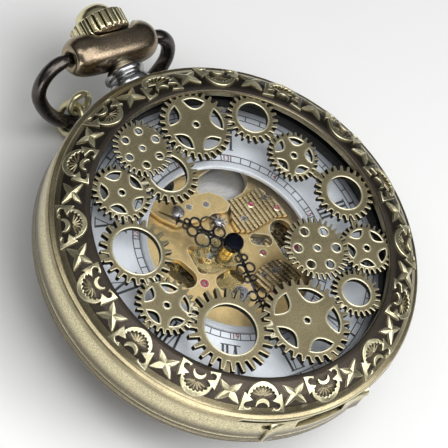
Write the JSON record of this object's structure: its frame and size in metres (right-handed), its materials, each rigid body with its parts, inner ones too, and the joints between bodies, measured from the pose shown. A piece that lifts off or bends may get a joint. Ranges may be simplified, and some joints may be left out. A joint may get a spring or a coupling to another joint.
{
  "type": "pocket watch",
  "caption": "Round pocket watch with an openwork gear lid, domed glass, skeleton movement, winding crown, bow and two chain links.",
  "frame": {"origin": "centre of the flat back face", "axes": "+Z from the back to the dial, +Y to the crown at 12 o'clock, +X to 3 o'clock"},
  "size_m": [0.0472, 0.0591, 0.0171],
  "materials": {
    "antique_bronze": "antiqued, dark in the recesses and rubbed pale on the relief",
    "bronze_gear": "antiqued brass with rubbed edges",
    "dark_bronze": "dark antiqued bronze",
    "pale_brass": "pale plated brass",
    "steel": "polished steel",
    "dark_steel": "dark polished steel",
    "gilt": "gilt, with engraved stripes",
    "gilt_wheel": "gilt wheel",
    "dial_white": "cool white enamel with black and red print",
    "ring_grey": "dark spacer ring",
    "glass": "clear",
    "ruby": "synthetic ruby",
    "spring_steel": "blued spring steel"
  },
  "bodies": {
    "case": {"back_cover": "antique_bronze", "back_glass": "glass", "case_band": "antique_bronze", "hinge_pin": "dark_bronze", "glass_bezel": "dark_bronze", "front_glass": "glass", "pendant_neck": "steel", "pendant": "antique_bronze", "dial": "dial_white", "movement_ring": "ring_grey", "crown_wheel_core": "steel", "click_post": "steel", "jewels": "ruby", "main_plate": "gilt", "barrel_bridge": "gilt", "train_bridge": "gilt", "balance_cock": "gilt", "front_bridge_top": "gilt", "front_bridge_right": "gilt", "front_bridge_low": "gilt", "front_screws": "steel", "seconds_boss": "steel", "minute_post": "steel"},
    "lid": {"lid_rim": "antique_bronze", "lid_gearwork": "bronze_gear", "lid_plate_low": "bronze_gear", "lid_plate_high": "bronze_gear"},
    "crown_stem": {"crown": "pale_brass", "winding_stem": "steel"},
    "winder": {"winding_pinion": "dark_steel"},
    "clutch_body": {"clutch": "dark_steel"},
    "bow_body": {"bow": "dark_bronze"},
    "link_a": {"chain_link_a": "pale_brass"},
    "link_b": {"chain_link_b": "pale_brass"},
    "barrel_body": {"barrel": "gilt_wheel", "mainspring": "spring_steel"},
    "ratchet_body": {"ratchet_wheel": "steel", "barrel_arbor": "steel"},
    "crown_wheel_body": {"crown_wheel": "steel"},
    "click_body": {"click": "steel"},
    "centre_body": {"centre_wheel": "gilt_wheel", "centre_arbor": "steel", "cannon_pinion": "dark_steel", "minute_hand": "dark_steel"},
    "third_body": {"third_wheel": "gilt_wheel", "third_arbor": "steel"},
    "fourth_body": {"fourth_wheel": "gilt_wheel", "fourth_arbor": "steel"},
    "escape_body": {"escape_wheel": "steel", "escape_arbor": "steel"},
    "pallet_body": {"pallet_fork": "steel"},
    "balance_body": {"balance_wheel": "gilt_wheel", "balance_staff": "steel", "hairspring": "spring_steel"},
    "minute_wheel_body": {"minute_wheel": "gilt_wheel"},
    "hour_body": {"hour_wheel": "gilt_wheel", "hour_hand": "dark_steel"}
  },
  "joints": [
    {"name": "lid_hinge", "type": "hinge", "parent": "case", "child": "lid", "pos_m": [0, -0.0222, 0.0074], "axis": [1, 0, 0], "range_deg": [0, 100]},
    {"name": "bow_swing", "type": "hinge", "parent": "case", "child": "bow_body", "pos_m": [0, 0.02958, 0.0056], "axis": [0.9928, 0, -0.1201], "range_deg": [-4, 205]},
    {"name": "link_a_swing", "type": "hinge", "parent": "bow_body", "child": "link_a", "pos_m": [-0.00482, 0.02548, -0.00316], "axis": [0.8953, -0.1383, -0.4234], "range_deg": [-35, 35]},
    {"name": "link_b_swing", "type": "hinge", "parent": "link_a", "child": "link_b", "pos_m": [-0.00376, 0.02638, -0.00124], "axis": [0.0486, -0.9146, 0.4015], "range_deg": [-25, 25]},
    {"name": "winding_turn", "type": "hinge", "parent": "case", "child": "winder", "pos_m": [0, 0.01366, 0.0056], "axis": [0, 1, 0], "continuous": true},
    {"name": "crown_pull", "type": "slide", "parent": "winder", "child": "crown_stem", "axis": [0, 1, 0], "range_m": [0, 0.0009]},
    {"name": "clutch_slide", "type": "slide", "parent": "winder", "child": "clutch_body", "axis": [0, 1, 0], "range_m": [-0.00045, 0]},
    {"name": "crown_wheel_turn", "type": "hinge", "parent": "case", "child": "crown_wheel_body", "pos_m": [-0.00001, 0.01121, 0.0034], "axis": [0, 0, 1], "continuous": true},
    {"name": "ratchet_turn", "type": "hinge", "parent": "case", "child": "ratchet_body", "pos_m": [0.004, 0.00571, 0.0034], "axis": [0, 0, 1], "continuous": true},
    {"name": "click_rock", "type": "hinge", "parent": "case", "child": "click_body", "pos_m": [0.00936, 0.00376, 0.0034], "axis": [0, 0, 1], "range_deg": [0, 12], "stiffness_Nm_per_rad": 0.000001},
    {"name": "centre_turn", "type": "hinge", "parent": "case", "child": "centre_body", "pos_m": [0, 0, 0.0052], "axis": [0, 0, -1], "continuous": true},
    {"name": "barrel_turn", "type": "hinge", "parent": "case", "child": "barrel_body", "pos_m": [0.004, 0.00571, 0.0044], "axis": [0, 0, -1], "continuous": true},
    {"name": "third_turn", "type": "hinge", "parent": "case", "child": "third_body", "pos_m": [-0.00468, -0.0027, 0.0034], "axis": [0, 0, -1], "continuous": true},
    {"name": "fourth_turn", "type": "hinge", "parent": "case", "child": "fourth_body", "pos_m": [-0.0011, -0.00571, 0.0046], "axis": [0, 0, -1], "continuous": true},
    {"name": "escape_turn", "type": "hinge", "parent": "case", "child": "escape_body", "pos_m": [0.00324, -0.00647, 0.0039], "axis": [0, 0, -1], "continuous": true},
    {"name": "minute_wheel_turn", "type": "hinge", "parent": "case", "child": "minute_wheel_body", "pos_m": [-0.0026, 0, 0.0064], "axis": [0, 0, -1], "continuous": true},
    {"name": "hour_turn", "type": "hinge", "parent": "case", "child": "hour_body", "pos_m": [0, 0, 0.0066], "axis": [0, 0, -1], "continuous": true},
    {"name": "pallet_rock", "type": "hinge", "parent": "case", "child": "pallet_body", "pos_m": [0.00606, -0.00544, 0.0039], "axis": [0, 0, 1], "range_deg": [-1.5, 1.5]},
    {"name": "balance_swing", "type": "hinge", "parent": "case", "child": "balance_body", "pos_m": [0.00876, -0.00223, 0.0033], "axis": [0, 0, 1], "range_deg": [-220, 220], "stiffness_Nm_per_rad": 0.00000027}
  ],
  "couplings": [
    {"joint": "clutch_slide", "follows": "crown_pull", "ratio": -0.5},
    {"joint": "crown_wheel_turn", "follows": "winding_turn", "ratio": 0.5},
    {"joint": "ratchet_turn", "follows": "winding_turn", "ratio": -0.35},
    {"joint": "barrel_turn", "follows": "centre_turn", "ratio": -0.125},
    {"joint": "third_turn", "follows": "centre_turn", "ratio": -8},
    {"joint": "fourth_turn", "follows": "centre_turn", "ratio": 60},
    {"joint": "escape_turn", "follows": "centre_turn", "ratio": -600},
    {"joint": "minute_wheel_turn", "follows": "centre_turn", "ratio": -0.33333},
    {"joint": "hour_turn", "follows": "centre_turn", "ratio": 0.083333}
  ]
}
